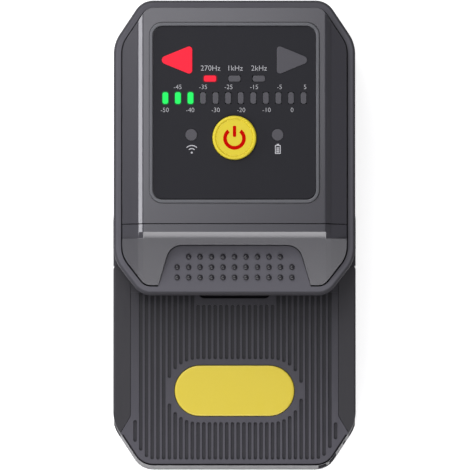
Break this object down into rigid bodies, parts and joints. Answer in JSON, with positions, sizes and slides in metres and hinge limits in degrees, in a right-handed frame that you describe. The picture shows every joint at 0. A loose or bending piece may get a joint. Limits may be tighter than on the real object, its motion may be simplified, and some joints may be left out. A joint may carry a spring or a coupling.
{
  "type": "optical fibre identifier",
  "caption": "Hand-held optical fibre identifier: a ribbed base with a hinged display head that clamps and bends a fibre across a light sensor block.",
  "frame": {"origin": "middle of the outline on the back face, which is the plane z = 0", "axes": "+X to the right seen from the front, +Y from the handle end to the hinge end, +Z out of the front"},
  "size_m": [0.058, 0.1114, 0.0312],
  "materials": {
    "shell_grey": "fine matt texture",
    "head_grey": "fine matt texture",
    "grip_rubber": "soft matt",
    "plate_yellow": "satin",
    "button_yellow": "satin",
    "bezel_grey": "satin",
    "panel_dark": "satin",
    "lens_red": "translucent",
    "lens_green": "translucent",
    "lens_grey": "translucent",
    "lamp_white": "plain",
    "black_plastic": "matt",
    "bumper_rubber": "matt",
    "screw_steel": "bright",
    "contact_metal": "nickel plated",
    "cell_sleeve": "printed sleeve without print",
    "circuit_board": "solder mask",
    "cable_film": "amber film"
  },
  "bodies": {
    "base": {"back_shell": "shell_grey", "handle_cover": "shell_grey", "neck_deck": "shell_grey", "side_grip_left": "grip_rubber", "side_grip_right": "grip_rubber", "name_plate": "plate_yellow", "lanyard_pin": "black_plastic", "battery_door": "shell_grey", "battery_door_screw": "screw_steel", "battery_cells": "cell_sleeve", "battery_contacts": "contact_metal", "main_board": "circuit_board", "main_board_parts": "black_plastic", "main_board_screws": "screw_steel", "fibre_anvil": "black_plastic", "photodiodes": "screw_steel", "fibre_guides": "black_plastic", "stop_bumpers": "bumper_rubber", "hinge_pin": "screw_steel", "hinge_spring": "screw_steel", "head_cable": "cable_film", "shell_screws": "screw_steel"},
    "head": {"head_frame": "head_grey", "display_cover": "head_grey", "chin_cover": "head_grey", "display_bezel": "bezel_grey", "display_panel": "panel_dark", "arrow_lenses": "lens_red", "frequency_lenses": "lens_grey", "level_lenses": "lens_green", "status_lenses": "lens_grey", "display_board": "circuit_board", "display_lamps": "lamp_white", "power_switch": "black_plastic", "display_board_screws": "screw_steel", "head_chassis": "shell_grey", "head_screws": "screw_steel", "presser_spring": "screw_steel"},
    "button": {"power_button": "button_yellow"},
    "fibre_presser": {"presser": "black_plastic"}
  },
  "joints": [
    {"name": "head_hinge", "type": "hinge", "parent": "base", "child": "head", "pos_m": [0, 0.0517, 0.0156], "axis": [-1, 0, 0], "range_deg": [0, 32], "stiffness_Nm_per_rad": 0.25, "springref_deg": -20.05, "deforming": ["hinge_spring", "head_cable"]},
    {"name": "power_press", "type": "slide", "parent": "head", "child": "button", "axis": [0, 0, -1], "range_m": [0, 0.0004], "stiffness_N_per_m": 1500, "springref_m": -0.0006},
    {"name": "presser_stroke", "type": "slide", "parent": "head", "child": "fibre_presser", "axis": [0, 0, 1], "range_m": [0, 0.0011], "stiffness_N_per_m": 1200, "springref_m": -0.0008, "deforming": ["presser_spring"]}
  ]
}
